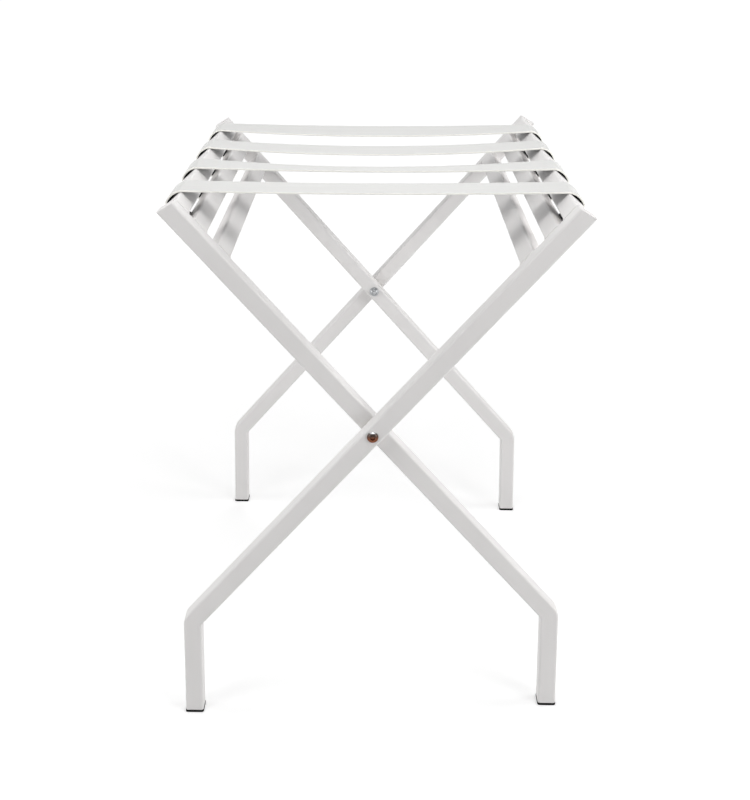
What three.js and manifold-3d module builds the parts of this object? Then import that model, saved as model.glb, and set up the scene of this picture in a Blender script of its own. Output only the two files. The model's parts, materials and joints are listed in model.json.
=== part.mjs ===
// Folding luggage rack: two crossed frames of square steel tube on two pivot bolts, with four straps
// over the top rails. Millimetres, +Z up, +X to the right and +Y to the back; the floor is Z = 0.
import * as THREE from "three";
import { mergeVertices } from "three/addons/utils/BufferGeometryUtils.js";
import Module from "manifold-3d";

// Square steel tube of both frames
const TUBE = 20;
const TUBE_WALL = 1.5;
const TUBE_CORNER = 2.5;

// Frame, on the centre lines of the legs seen from the front
const OVERALL_LENGTH = 555; // front to back, over the outer legs
const RAIL_HEIGHT = 586.1; // top of the rails
const LEG_SLOPE = THREE.MathUtils.degToRad(48.65);
const LEG_END_CUT = THREE.MathUtils.degToRad(10); // off square
const BEND_OUT = 199; // from the middle plane
const BEND_HEIGHT = 118.5;
const BEND_INSIDE_RADIUS = 1;
const FOOT_SPLAY = THREE.MathUtils.degToRad(1.3);

// Rail and crossbars, one after the other down the slope of the legs
const RAIL_SETBACK = 4.5; // below the long corner of the legs
const RAIL_SLIT = 6.5; // between rail and upper crossbar
const BAR_SPACE = 15; // between the two crossbars
const WELD_GAP = 0.2;

// Straps
const STRAP_COUNT = 4;
const STRAP_WIDTH = 50;
const STRAP_THICKNESS = 2;
const STRAP_MARGIN = 33; // from the inner legs to the edge of the first and last strap
const STRAP_SAG = 6.8; // at mid-span
const STRAP_HUG = THREE.MathUtils.degToRad(20); // turn round the rail's corners before it lifts off the face
const STRAP_TAIL = 7; // past the fixing screw
const SEAT = 0.3; // gap under a piece that rests on another

// Strap screws
const SCREW_RADIUS = 2;
const SCREW_HEAD_RADIUS = 6;
const SCREW_HEAD_HEIGHT = 2.2;
const SCREW_REACH = 6; // past the inside of the tube wall
const HOLE_CLEARANCE = 0.25; // radial

// Pivots
const LEG_GAP = 2; // between an outer leg and the inner leg beside it
const BOLT_RADIUS = 3;
const BOLT_HEAD_RADIUS = 6;
const BOLT_HEAD_HEIGHT = 4;
const BOLT_HEAD_RIM = 0.8;
const BOLT_SOCKET_FLATS = 4;
const BOLT_SOCKET_DEPTH = 2.2;
const BOLT_TIP = 1.5; // past the nut
const BOLT_CHAMFER = 0.6;
const SPACER_RADIUS = 9;
const WASHER_RADIUS = 6.5;
const WASHER_THICKNESS = 1.2;
const NUT_FLATS = 10;
const NUT_THICKNESS = 5;
const NUT_COLLAR = 2; // round locking collar on top of the hexagon
const NUT_COLLAR_RADIUS = 4.6;
const NUT_CHAMFER = 0.5;
const STACK_GAP = 0.15; // between pieces on a bolt

// Feet
const GLIDE_HEIGHT = 3; // below the tube end
const GLIDE_EDGE = 1.2; // rounding of the edge on the floor
const PLUG_HEIGHT = 18; // inside the tube
const PLUG_LEAD = 3; // tapered start of the plug
const PLUG_CLEARANCE = 0.3;

// Facets
const CORNER_STEPS = 3;
const BEND_STEPS = 5;
const ROUND_STEPS = 24;
const SCREW_STEPS = 14;
const STRAP_SPAN_STEPS = 8;
const STRAP_ARC_STEPS = 8;
const HEX_SIDES = 6;
const DOME_STEPS = 5;
const POINT_SPACING = 1e-4; // points closer than this are one

// Sizes that follow
const HALF_TUBE = TUBE / 2;
const INNER_HALF = HALF_TUBE - TUBE_WALL;
const INNER_CORNER = Math.max(TUBE_CORNER - TUBE_WALL, TUBE_WALL / 4);
const OUTER_FACE = OVERALL_LENGTH / 2;
const INNER_FACE = OUTER_FACE - TUBE - LEG_GAP;
const RIDGE_ACROSS = HALF_TUBE - TUBE_CORNER; // from the leg's centre line to the middle of a tube corner
const RIDGE_RISE = RAIL_HEIGHT - TUBE_CORNER - BEND_HEIGHT - RIDGE_ACROSS * Math.cos(LEG_SLOPE);
const RIDGE_AT = RIDGE_RISE / Math.sin(LEG_SLOPE); // middle of the rail's top corner, from the bend
const RAIL_AT = RIDGE_AT - RIDGE_ACROSS;
const LEG_RUN = RAIL_AT + HALF_TUBE + RAIL_SETBACK; // from the bend to the long corner of the top end
const UPPER_BAR_AT = RAIL_AT - TUBE - RAIL_SLIT;
const LOWER_BAR_AT = UPPER_BAR_AT - TUBE - BAR_SPACE;
const PIVOT_HEIGHT = BEND_HEIGHT + BEND_OUT * Math.tan(LEG_SLOPE);
const BOLT_HOLE_RADIUS = BOLT_RADIUS + HOLE_CLEARANCE;
const SCREW_HOLE_RADIUS = SCREW_RADIUS + HOLE_CLEARANCE;
const STRAP_LINE = SEAT + STRAP_THICKNESS / 2; // from a tube face to the middle of a strap
const STRAP_REST = INNER_FACE - TUBE - STRAP_MARGIN - STRAP_WIDTH / 2; // centre of the last strap
const STRAP_PITCH = (2 * STRAP_REST) / (STRAP_COUNT - 1);

const wasm = await Module();
wasm.setup();

const white_powder_coat = new THREE.MeshStandardMaterial({
  color: 0xe4e3df,
  roughness: 0.45,
  metalness: 0,
});
const white_strap = new THREE.MeshStandardMaterial({
  color: 0xe6e7e4,
  roughness: 0.6,
  metalness: 0,
});
const black_plastic = new THREE.MeshStandardMaterial({
  color: 0x17171a,
  roughness: 0.5,
  metalness: 0,
});
const zinc_steel = new THREE.MeshStandardMaterial({
  color: 0x8a8682,
  roughness: 0.3,
  metalness: 1,
});
const clear_nylon = new THREE.MeshStandardMaterial({
  color: 0xdad8d0,
  roughness: 0.5,
  metalness: 0,
});

// A geometry as a solid, with only its corner points left.
function toSolid(geometry) {
  const bare = new THREE.BufferGeometry();
  bare.setAttribute("position", geometry.getAttribute("position").clone());
  if (geometry.index) {
    bare.setIndex(geometry.index.clone());
  }
  const merged = mergeVertices(bare, POINT_SPACING);
  return new wasm.Manifold(
    new wasm.Mesh({
      numProp: 3,
      vertProperties: merged.getAttribute("position").array,
      triVerts: new Uint32Array(merged.index.array),
    }),
  );
}

function toGeometry(solid) {
  const mesh = solid.getMesh();
  const geometry = new THREE.BufferGeometry();
  geometry.setAttribute("position", new THREE.BufferAttribute(mesh.vertProperties, 3));
  geometry.setIndex(new THREE.BufferAttribute(mesh.triVerts, 1));
  return geometry;
}

function cut(geometry, tools) {
  const left = tools.reduce((body, tool) => body.subtract(toSolid(tool)), toSolid(geometry));
  return toGeometry(left);
}

// Corner points of a square with rounded corners, anticlockwise, as pairs across and deep.
function squareRing(half, corner) {
  const ring = [];
  for (let side = 0; side < 4; side += 1) {
    const middle = Math.PI / 4 + (side * Math.PI) / 2;
    const across = Math.sign(Math.cos(middle)) * (half - corner);
    const deep = Math.sign(Math.sin(middle)) * (half - corner);
    for (let step = 0; step <= CORNER_STEPS; step += 1) {
      const angle = (side + step / CORNER_STEPS) * (Math.PI / 2);
      ring.push([across + corner * Math.cos(angle), deep + corner * Math.sin(angle)]);
    }
  }
  return ring;
}

// Skin over rings of points, closed by a flat face at each end or by joining the last ring to the first.
function skin(rings, endless) {
  const count = rings[0].length;
  const faces = [];
  const spans = endless ? rings.length : rings.length - 1;
  for (let span = 0; span < spans; span += 1) {
    const here = span * count;
    const there = ((span + 1) % rings.length) * count;
    for (let i = 0; i < count; i += 1) {
      const next = (i + 1) % count;
      faces.push(here + i, here + next, there + next);
      faces.push(here + i, there + next, there + i);
    }
  }
  if (!endless) {
    const last = (rings.length - 1) * count;
    for (let i = 1; i < count - 1; i += 1) {
      faces.push(0, i + 1, i);
      faces.push(last, last + i, last + i + 1);
    }
  }
  const geometry = new THREE.BufferGeometry();
  geometry.setFromPoints(rings.flat());
  geometry.setIndex(faces);
  return geometry;
}

// Point of the sloping leg, in the front view: along it from the bend and square to it, upwards.
function slopePoint(along, across) {
  const x = -BEND_OUT + along * Math.cos(LEG_SLOPE) - across * Math.sin(LEG_SLOPE);
  const z = BEND_HEIGHT + along * Math.sin(LEG_SLOPE) + across * Math.cos(LEG_SLOPE);
  return new THREE.Vector2(x, z);
}

// Middle of the splayed foot at a height above the floor.
function footMiddle(height) {
  return new THREE.Vector2(-BEND_OUT - (BEND_HEIGHT - height) * Math.tan(FOOT_SPLAY), height);
}

// Ring of a tube that is cut along a line of the front view.
function cutRing(middle, line, half, corner) {
  return squareRing(half, corner).map(([across, deep]) => {
    const at = middle.clone().addScaledVector(line, across);
    return new THREE.Vector3(at.x, -deep, at.y);
  });
}

function footRing(height, half, corner) {
  const level = new THREE.Vector2(-1 / Math.cos(FOOT_SPLAY), 0);
  return cutRing(footMiddle(height), level, half, corner);
}

// Leg of one size of tube, from the foot end round the bend to the top end.
function legRings(half, corner, topWall) {
  const footLean = Math.PI / 2 - FOOT_SPLAY;
  const turn = footLean - LEG_SLOPE;
  const radius = HALF_TUBE + BEND_INSIDE_RADIUS;
  const reach = radius * Math.tan(turn / 2);
  const centre = slopePoint(reach, -radius);
  const rings = [footRing(GLIDE_HEIGHT, half, corner)];
  for (let step = 0; step <= BEND_STEPS; step += 1) {
    const angle = LEG_SLOPE + Math.PI / 2 + turn * (1 - step / BEND_STEPS);
    const outward = new THREE.Vector2(Math.cos(angle), Math.sin(angle));
    const middle = centre.clone().addScaledVector(outward, radius);
    rings.push(cutRing(middle, outward, half, corner));
  }
  const lean = Math.tan(LEG_END_CUT);
  const end = slopePoint(LEG_RUN - HALF_TUBE * lean - topWall, 0);
  const along = new THREE.Vector2(Math.cos(LEG_SLOPE), Math.sin(LEG_SLOPE));
  const upward = new THREE.Vector2(-along.y, along.x);
  rings.push(cutRing(end, upward.addScaledVector(along, -lean), half, corner));
  return rings;
}

function atPivot(geometry) {
  return geometry.translate(0, 0, PIVOT_HEIGHT);
}

function legGeometry() {
  const inside = legRings(INNER_HALF, INNER_CORNER, TUBE_WALL).reverse();
  const outside = legRings(HALF_TUBE, TUBE_CORNER, 0);
  const hole = new THREE.CylinderGeometry(BOLT_HOLE_RADIUS, BOLT_HOLE_RADIUS, 2 * TUBE, ROUND_STEPS);
  return cut(skin([...inside, ...outside], false), [atPivot(hole)]);
}

// Straight tube along Y, open at both ends.
function barGeometry(length) {
  const ringAt = (y, half, corner) =>
    squareRing(half, corner).map(([across, up]) => new THREE.Vector3(across, y, up));
  const end = length / 2;
  const rings = [
    ringAt(end, HALF_TUBE, TUBE_CORNER),
    ringAt(-end, HALF_TUBE, TUBE_CORNER),
    ringAt(-end, INNER_HALF, INNER_CORNER),
    ringAt(end, INNER_HALF, INNER_CORNER),
  ];
  return skin(rings, true);
}

// Cylinder square to the slope through the underside of a crossbar.
function screwHole(y) {
  const reach = TUBE_WALL + STRAP_THICKNESS + 2 * SEAT;
  const hole = new THREE.CylinderGeometry(SCREW_HOLE_RADIUS, SCREW_HOLE_RADIUS, 2 * reach, SCREW_STEPS);
  hole.rotateX(Math.PI / 2);
  return hole.translate(0, y, -HALF_TUBE);
}

function glideGeometry() {
  const plugHalf = INNER_HALF - PLUG_CLEARANCE;
  const plugTop = GLIDE_HEIGHT + PLUG_HEIGHT;
  const leadHalf = plugHalf - PLUG_CLEARANCE;
  const eased = GLIDE_EDGE * (1 - Math.SQRT1_2);
  const seat = GLIDE_HEIGHT - SEAT;
  return skin(
    [
      footRing(0, HALF_TUBE - GLIDE_EDGE, TUBE_CORNER),
      footRing(eased, HALF_TUBE - eased, TUBE_CORNER),
      footRing(GLIDE_EDGE, HALF_TUBE, TUBE_CORNER),
      footRing(seat, HALF_TUBE, TUBE_CORNER),
      footRing(seat, plugHalf, INNER_CORNER),
      footRing(plugTop - PLUG_LEAD, plugHalf, INNER_CORNER),
      footRing(plugTop, leadHalf, INNER_CORNER),
    ],
    false,
  );
}

// Half of a strap's middle line in the front view, from mid-span over the outer rail to its tail.
function strapHalf() {
  const ridge = slopePoint(RIDGE_AT, RIDGE_ACROSS);
  const edge = slopePoint(RIDGE_AT, -RIDGE_ACROSS);
  const fall = Math.atan((2 * STRAP_SAG) / ridge.x);
  const wrap = TUBE_CORNER + STRAP_LINE;
  const leave = Math.PI / 2 + fall;
  const spread = leave - STRAP_HUG - LEG_SLOPE;
  const bulge = wrap + ridge.distanceTo(edge) / (2 * Math.sin(spread));
  const centreLine = ridge.clone().add(edge).multiplyScalar(0.5);
  const inwards = (bulge - wrap) * Math.cos(spread);
  const bulgeCentre = centreLine.sub(
    new THREE.Vector2(Math.cos(LEG_SLOPE), Math.sin(LEG_SLOPE)).multiplyScalar(inwards),
  );
  const line = [];
  const add = (point, angle) =>
    line.push({ point, normal: new THREE.Vector2(Math.cos(angle), Math.sin(angle)) });
  const addArc = (centre, radius, from, to) => {
    for (let step = 0; step <= STRAP_ARC_STEPS; step += 1) {
      const angle = from + ((to - from) * step) / STRAP_ARC_STEPS;
      const outward = new THREE.Vector2(Math.cos(angle), Math.sin(angle));
      add(centre.clone().addScaledVector(outward, radius), angle);
    }
  };
  const start = ridge.clone().addScaledVector(new THREE.Vector2(Math.cos(leave), Math.sin(leave)), wrap);
  const steep = Math.tan(fall) / start.x;
  for (let step = 0; step < STRAP_SPAN_STEPS; step += 1) {
    const x = (start.x * (step + 0.5)) / (STRAP_SPAN_STEPS + 0.5);
    const z = start.y - (steep * (start.x * start.x - x * x)) / 2;
    add(new THREE.Vector2(x, z), Math.PI / 2 + Math.atan(steep * x));
  }
  addArc(ridge, wrap, leave, LEG_SLOPE + spread);
  line.pop();
  addArc(bulgeCentre, bulge, LEG_SLOPE + spread, LEG_SLOPE - spread);
  line.pop();
  addArc(edge, wrap, LEG_SLOPE - spread, LEG_SLOPE - Math.PI / 2);
  const tail = slopePoint(UPPER_BAR_AT - STRAP_TAIL, -HALF_TUBE - STRAP_LINE);
  add(tail, LEG_SLOPE - Math.PI / 2);
  return line;
}

function mirrored(line) {
  return line.map(({ point, normal }) => ({
    point: new THREE.Vector2(-point.x, point.y),
    normal: new THREE.Vector2(-normal.x, normal.y),
  }));
}

function strapGeometry() {
  const half = strapHalf();
  const line = [...mirrored(half).reverse(), ...half];
  const side = (distance) => line.map(({ point, normal }) => point.clone().addScaledVector(normal, distance));
  const above = side(STRAP_THICKNESS / 2);
  const below = side(-STRAP_THICKNESS / 2);
  const outline = new THREE.Shape([...below, ...above.reverse()]);
  const strap = new THREE.ExtrudeGeometry(outline, { depth: STRAP_WIDTH, bevelEnabled: false });
  strap.rotateX(Math.PI / 2);
  strap.translate(0, STRAP_WIDTH / 2, 0);
  const holes = [0, Math.PI].map((turn) => {
    const hole = screwHole(0);
    hole.rotateY(-LEG_SLOPE);
    const at = slopePoint(UPPER_BAR_AT, 0);
    return hole.translate(at.x, 0, at.y).rotateZ(turn);
  });
  return cut(strap, holes);
}

// Solid turned about Y from pairs of radius and height, starting and ending on the axis.
function turned(profile, steps = ROUND_STEPS) {
  const points = profile.map(([radius, height]) => new THREE.Vector2(radius, height));
  return new THREE.LatheGeometry(points, steps);
}

// Low dome from the rim of a head to its top, as pairs of radius and height going up.
function dome(radius, bottom, top) {
  const pairs = [];
  for (let step = 0; step <= DOME_STEPS; step += 1) {
    const angle = ((step / DOME_STEPS) * Math.PI) / 2;
    pairs.push([radius * Math.cos(angle), bottom + (top - bottom) * Math.sin(angle)]);
  }
  pairs[DOME_STEPS][0] = 0;
  return pairs;
}

function hexPrism(flats, height) {
  return new THREE.CylinderGeometry(
    flats / 2 / Math.cos(Math.PI / HEX_SIDES),
    flats / 2 / Math.cos(Math.PI / HEX_SIDES),
    height,
    HEX_SIDES,
  );
}

// Ring about Y, standing on height zero.
function ringGeometry(radius, hole, height) {
  const points = [
    [hole, 0],
    [radius, 0],
    [radius, height],
    [hole, height],
    [hole, 0],
  ];
  return turned(points);
}

// Screw pointing up, the underside of its head at height zero.
function screwGeometry() {
  const reach = STRAP_THICKNESS + 2 * SEAT + TUBE_WALL + SCREW_REACH;
  const head = dome(SCREW_HEAD_RADIUS, 0, -SCREW_HEAD_HEIGHT).reverse();
  const profile = [
    ...head,
    [SCREW_RADIUS, 0],
    [SCREW_RADIUS, reach - SCREW_RADIUS],
    [0, reach],
  ];
  return turned(profile, SCREW_STEPS).rotateX(Math.PI / 2);
}

// Bolt pointing up, the underside of its head at height zero, with a hexagon socket in the dome.
function boltGeometry(length) {
  const top = -BOLT_HEAD_HEIGHT;
  const body = turned([
    ...dome(BOLT_HEAD_RADIUS, -BOLT_HEAD_RIM, top).reverse(),
    [BOLT_HEAD_RADIUS, 0],
    [BOLT_RADIUS, 0],
    [BOLT_RADIUS, length - BOLT_CHAMFER],
    [BOLT_RADIUS - BOLT_CHAMFER, length],
    [0, length],
  ]);
  const socket = hexPrism(BOLT_SOCKET_FLATS, 2 * BOLT_SOCKET_DEPTH).translate(0, top, 0);
  return cut(body, [socket]);
}

// Lock nut standing on height zero: a hexagon with turned-off corners and a round collar.
function nutGeometry() {
  const corner = NUT_FLATS / 2 / Math.cos(Math.PI / HEX_SIDES);
  const hexTop = NUT_THICKNESS - NUT_COLLAR;
  const envelope = turned([
    [0, 0],
    [corner - NUT_CHAMFER, 0],
    [corner, NUT_CHAMFER],
    [corner, hexTop - NUT_CHAMFER],
    [corner - NUT_CHAMFER, hexTop],
    [0, hexTop],
  ]);
  const hexagon = hexPrism(NUT_FLATS, 2 * NUT_THICKNESS);
  const collar = turned([
    [0, hexTop - NUT_CHAMFER],
    [NUT_COLLAR_RADIUS, hexTop - NUT_CHAMFER],
    [NUT_COLLAR_RADIUS, NUT_THICKNESS - NUT_CHAMFER],
    [NUT_COLLAR_RADIUS - NUT_CHAMFER, NUT_THICKNESS],
    [0, NUT_THICKNESS],
  ]);
  const body = toSolid(envelope).intersect(toSolid(hexagon)).add(toSolid(collar));
  const hole = new THREE.CylinderGeometry(BOLT_HOLE_RADIUS, BOLT_HOLE_RADIUS, 4 * NUT_THICKNESS, ROUND_STEPS);
  return toGeometry(body.subtract(toSolid(hole)));
}

function piece(name, geometry, material) {
  const mesh = new THREE.Mesh(geometry, material);
  mesh.name = name;
  return mesh;
}

const strapCentres = Array.from({ length: STRAP_COUNT }, (_, i) => -STRAP_REST + i * STRAP_PITCH);
const leg = legGeometry();
const glide = glideGeometry();
const screw = screwGeometry();

// One frame: two legs with their glides, the rail, the crossbars and the screws that hold the straps.
function buildFrame(name, face, turn) {
  const frame = new THREE.Group();
  frame.name = `${name}_frame`;
  frame.rotation.z = turn;
  const facing = Math.round(Math.cos(turn));
  for (const [end, toBack] of [["front", -1], ["rear", 1]]) {
    const y = facing * toBack * (face - HALF_TUBE);
    const legMesh = piece(`${name}_${end}_leg`, leg, white_powder_coat);
    const glideMesh = piece(`${name}_${end}_foot`, glide, black_plastic);
    legMesh.position.y = y;
    glideMesh.position.y = y;
    frame.add(legMesh, glideMesh);
  }
  const slope = new THREE.Group();
  slope.position.set(-BEND_OUT, 0, BEND_HEIGHT);
  slope.rotation.y = -LEG_SLOPE;
  frame.add(slope);
  const bar = barGeometry(2 * (face - TUBE - WELD_GAP));
  const drilled = cut(bar, strapCentres.map((y) => screwHole(y)));
  const bars = [
    ["top_rail", RAIL_AT, bar],
    ["upper_crossbar", UPPER_BAR_AT, drilled],
    ["lower_crossbar", LOWER_BAR_AT, bar],
  ];
  for (const [part, along, geometry] of bars) {
    const mesh = piece(`${name}_${part}`, geometry, white_powder_coat);
    mesh.position.x = along;
    slope.add(mesh);
  }
  strapCentres.forEach((y, i) => {
    const mesh = piece(`strap_${i + 1}_${name}_screw`, screw, zinc_steel);
    const under = HALF_TUBE + STRAP_THICKNESS + 2 * SEAT;
    mesh.position.set(UPPER_BAR_AT, facing * y, -under);
    slope.add(mesh);
  });
  return frame;
}

// Bolt, spacer, washer and nut of one pivot, from the outer face of the outer leg inwards.
function buildPivot(end, turn) {
  const pivot = new THREE.Group();
  pivot.name = `${end}_pivot`;
  pivot.rotation.z = turn;
  const stack = new THREE.Group();
  stack.position.set(0, -OUTER_FACE, PIVOT_HEIGHT);
  pivot.add(stack);
  const washerAt = 2 * TUBE + LEG_GAP + STACK_GAP;
  const nutAt = washerAt + WASHER_THICKNESS + STACK_GAP;
  const boltLength = nutAt + NUT_THICKNESS + BOLT_TIP + STACK_GAP;
  const spacerHeight = LEG_GAP - 2 * STACK_GAP;
  const spacer = ringGeometry(SPACER_RADIUS, BOLT_HOLE_RADIUS, spacerHeight);
  const washer = ringGeometry(WASHER_RADIUS, BOLT_HOLE_RADIUS, WASHER_THICKNESS);
  const pieces = [
    ["bolt", boltGeometry(boltLength), -STACK_GAP, zinc_steel],
    ["spacer", spacer, TUBE + STACK_GAP, clear_nylon],
    ["washer", washer, washerAt, zinc_steel],
    ["nut", nutGeometry(), nutAt, zinc_steel],
  ];
  for (const [part, geometry, y, material] of pieces) {
    const mesh = piece(`${end}_pivot_${part}`, geometry, material);
    mesh.position.y = y;
    stack.add(mesh);
  }
  return pivot;
}

const rack = new THREE.Group();
rack.name = "luggage_rack";
rack.add(buildFrame("outer", OUTER_FACE, 0));
rack.add(buildFrame("inner", INNER_FACE, Math.PI));
rack.add(buildPivot("front", 0));
rack.add(buildPivot("rear", Math.PI));
const strap = strapGeometry();
strapCentres.forEach((y, i) => {
  const mesh = piece(`strap_${i + 1}`, strap, white_strap);
  mesh.position.y = y;
  rack.add(mesh);
});

export default rack;
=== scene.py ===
"""Folding luggage rack: two crossed frames of white square tube on two pivot bolts, with four
straps over the top rails. Metres, +Z up, +Y to the back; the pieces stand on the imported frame."""

import json
import math

import bmesh
import bpy
from bpy.props import FloatProperty, FloatVectorProperty, PointerProperty
from mathutils import Matrix, Vector


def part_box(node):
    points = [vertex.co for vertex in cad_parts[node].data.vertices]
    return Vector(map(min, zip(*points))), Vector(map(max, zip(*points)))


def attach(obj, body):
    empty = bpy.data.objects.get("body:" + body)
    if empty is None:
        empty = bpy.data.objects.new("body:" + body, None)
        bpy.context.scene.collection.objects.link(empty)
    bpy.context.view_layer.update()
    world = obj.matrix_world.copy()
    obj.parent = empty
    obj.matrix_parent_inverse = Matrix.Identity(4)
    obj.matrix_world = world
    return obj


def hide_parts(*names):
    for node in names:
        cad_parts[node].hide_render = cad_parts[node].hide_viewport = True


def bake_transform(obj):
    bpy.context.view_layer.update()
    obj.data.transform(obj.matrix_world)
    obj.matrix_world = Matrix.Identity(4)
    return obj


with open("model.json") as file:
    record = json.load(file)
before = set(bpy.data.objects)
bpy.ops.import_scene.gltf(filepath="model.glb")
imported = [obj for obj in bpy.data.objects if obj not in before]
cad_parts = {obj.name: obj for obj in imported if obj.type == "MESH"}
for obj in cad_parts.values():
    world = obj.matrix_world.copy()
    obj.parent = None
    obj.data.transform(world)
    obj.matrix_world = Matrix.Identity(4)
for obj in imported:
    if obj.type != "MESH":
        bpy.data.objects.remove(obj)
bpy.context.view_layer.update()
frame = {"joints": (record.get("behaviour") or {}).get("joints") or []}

bl_info = {
    "name": "Folding luggage rack",
    "version": (1, 0, 0),
    "blender": (4, 5, 0),
    "location": "3D View > Sidebar > Rack",
    "description": "Builds a folding luggage rack of white tube with four straps on its frame",
    "category": "Add Mesh",
}

MM = 0.001
JOINT = frame["joints"][0]
PIVOT = Vector(JOINT["pos_m"])
FOLD = math.radians(JOINT["range_deg"][1])
FRAMES = (("outer", 0.0), ("inner", math.pi))  # the inner frame is the outer one turned half round
ENDS = ("front", "rear")
BARS = ("top_rail", "upper_crossbar", "lower_crossbar")
CORNER_STEPS = 6  # faces round a tube's corner
BEND_STEPS = 10  # faces round a leg's bend
CREASE = math.radians(40)  # edges that turn by more stay sharp
SAME_POINT = 0.002 * MM  # points closer than this are one

# The camera, found from the edges of the tubes
CAMERA_PLACE = (2.3386 * MM, -1487.859 * MM, 877.188 * MM)
PITCH, YAW, ROLL = 0.364333, -0.028393, 0.003703  # radians
PICTURE = (750, 800)  # width and height in pixels, as are the next two
FOCAL_LENGTH = 1266.305
OPTICAL_CENTRE = (341.757, 373.571)
SENSOR = 36  # in millimetres; any width gives the same picture

# Name, place, target, size in metres and power in watts of each softbox
SOFTBOXES = (
    ("overhead", (0.0, -0.3, 1.4), (0, 0.35, 0.3), 0.6, 3.6),
    ("front left", (-1.3, -1.2, 0.8), (0, 0, 0.4), 0.8, 7),
    ("front right", (1.3, -1.2, 0.8), (0, 0, 0.4), 0.8, 9.5),
    ("left", (-1.5, 0.0, 0.8), (0, 0, 0.4), 0.8, 6),
    ("right", (1.5, 0.0, 0.8), (0, 0, 0.4), 0.8, 8.5),
    ("back", (0.0, 1.4, 1.6), (0, 0, 0.4), 1.0, 6),
)
SKY_LIGHT = 0.22  # as a share of the white that the room shows
FLOOR_SIZE = 30  # metres from the middle to an edge


def middle(node):
    """The middle of a node's box."""
    low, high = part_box(node)
    return (low + high) / 2


RAIL = middle("outer_top_rail")
UPPER_BAR = middle("outer_upper_crossbar")
UPHILL = (RAIL - middle("outer_lower_crossbar")).normalized()  # along the outer legs
OUTWARD = Vector((-UPHILL.z, 0, UPHILL.x))  # square to them, upwards
SLOPE = math.atan2(UPHILL.z, UPHILL.x)


def linear(code):
    """Linear red, green, blue and alpha of an sRGB hex colour."""
    parts = [int(code[i : i + 2], 16) / 255 for i in (1, 3, 5)]
    return (*[c / 12.92 if c <= 0.04045 else ((c + 0.055) / 1.055) ** 2.4 for c in parts], 1.0)


def length(name, description, default):
    return FloatProperty(
        name=name, description=description, default=default, min=0, unit="LENGTH", precision=5
    )


def lengths(name, description, defaults):
    return FloatVectorProperty(
        name=name,
        description=description,
        default=defaults,
        size=len(defaults),
        unit="LENGTH",
        precision=5,
    )


def angle(name, description, degrees):
    return FloatProperty(
        name=name,
        description=description,
        default=math.radians(degrees),
        subtype="ANGLE",
        unit="ROTATION",
    )


def colour(name, description, default):
    return FloatVectorProperty(
        name=name,
        description=description,
        default=linear(default),
        size=4,
        min=0,
        max=1,
        subtype="COLOR",
    )


class FrameSizes(bpy.types.PropertyGroup):
    """Sizes of the welded tube frames"""

    tube: length("Tube", "Width of the square tube", 20 * MM)
    corner: length("Corner", "Outside radius of the tube's corners", 2.5 * MM)
    bend_height: length("Bend height", "Height of the bend on the leg's centre line", 118.5 * MM)
    bend_radius: length("Bend radius", "Inside radius of the bend", 1 * MM)
    splay: angle("Splay", "Lean of the foot from upright", 1.3)
    reach: length(
        "Reach", "From the middle of the top rail to the long corner of the leg", 14.5 * MM
    )
    end_cut: angle("End cut", "Slant of the leg's top end", 10)
    end_round: length("End rounding", "Rounding of the leg's top end", 0.7 * MM)
    bead: length("Weld bead", "Height of the weld bead at the ends of a bar", 0.7 * MM)
    glide: length("Glide height", "Height of the foot below the tube", 3 * MM)
    glide_edge: length("Glide edge", "Rounding of the foot at the floor", 0.4 * MM)
    lip: length("Lip", "How far the foot stands proud of the tube", 0.4 * MM)
    wall: length("Wall", "Thickness of the tube's wall", 1.5 * MM)
    plug: length("Plug", "Length of the foot's plug inside the tube", 18 * MM)


class StrapSizes(bpy.types.PropertyGroup):
    """Sizes of the four straps, the first one at the front"""

    width: length("Width", "Width of a strap", 50 * MM)
    thickness: length("Thickness", "Thickness of a strap", 2 * MM)
    edge: length("Edge", "Rounding of the strap's edges", 0.6 * MM)
    seat: length("Seat", "Gap between strap and tube", 0.3 * MM)
    tail: length("Tail", "Length of strap past its screw", 7 * MM)
    hug: angle(
        "Hug", "Turn of a strap round a rail's corner before it lifts off the rail's face", 12
    )
    left_slack: lengths(
        "Left slack",
        "How far each strap stands off the left rail",
        (1.2 * MM, 1 * MM, 0.7 * MM, 0.3 * MM),
    )
    right_slack: lengths(
        "Right slack",
        "How far each strap stands off the right rail",
        (0.7 * MM, 0.5 * MM, 0.2 * MM, 0),
    )
    near_sag: lengths(
        "Near sag",
        "Sag of the near edge of each strap",
        (2.2 * MM, 3.6 * MM, 8.2 * MM, 6.7 * MM),
    )
    far_sag: lengths(
        "Far sag",
        "Sag of the far edge of each strap",
        (2.5 * MM, 8.8 * MM, 7.6 * MM, 2.9 * MM),
    )
    askew: lengths(
        "Askew",
        "How far each strap lies nearer on the right",
        (3 * MM, 5 * MM, 2 * MM, 7 * MM),
    )


class HardwareSizes(bpy.types.PropertyGroup):
    """Sizes of screws, bolts, nuts and rings"""

    screw_head: length("Screw head", "Radius of the screw head", 6 * MM)
    screw_height: length("Screw head height", "Height of the screw head", 2.2 * MM)
    screw_shank: length("Screw shank", "Radius of the screw thread", 2 * MM)
    recess: length("Recess", "Reach of the cross recess from the middle", 2.6 * MM)
    bolt: length("Bolt", "Radius of the pivot bolt", 3 * MM)
    bolt_head: length("Bolt head", "Radius of the bolt head", 6 * MM)
    bolt_height: length("Bolt head height", "Height of the bolt head", 4 * MM)
    socket: length("Socket", "Width over flats of the bolt's socket", 4 * MM)
    nut_flats: length("Nut", "Width over flats of the nut", 10 * MM)
    nut_collar: length("Nut collar", "Radius of the nut's locking collar", 4.6 * MM)


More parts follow.
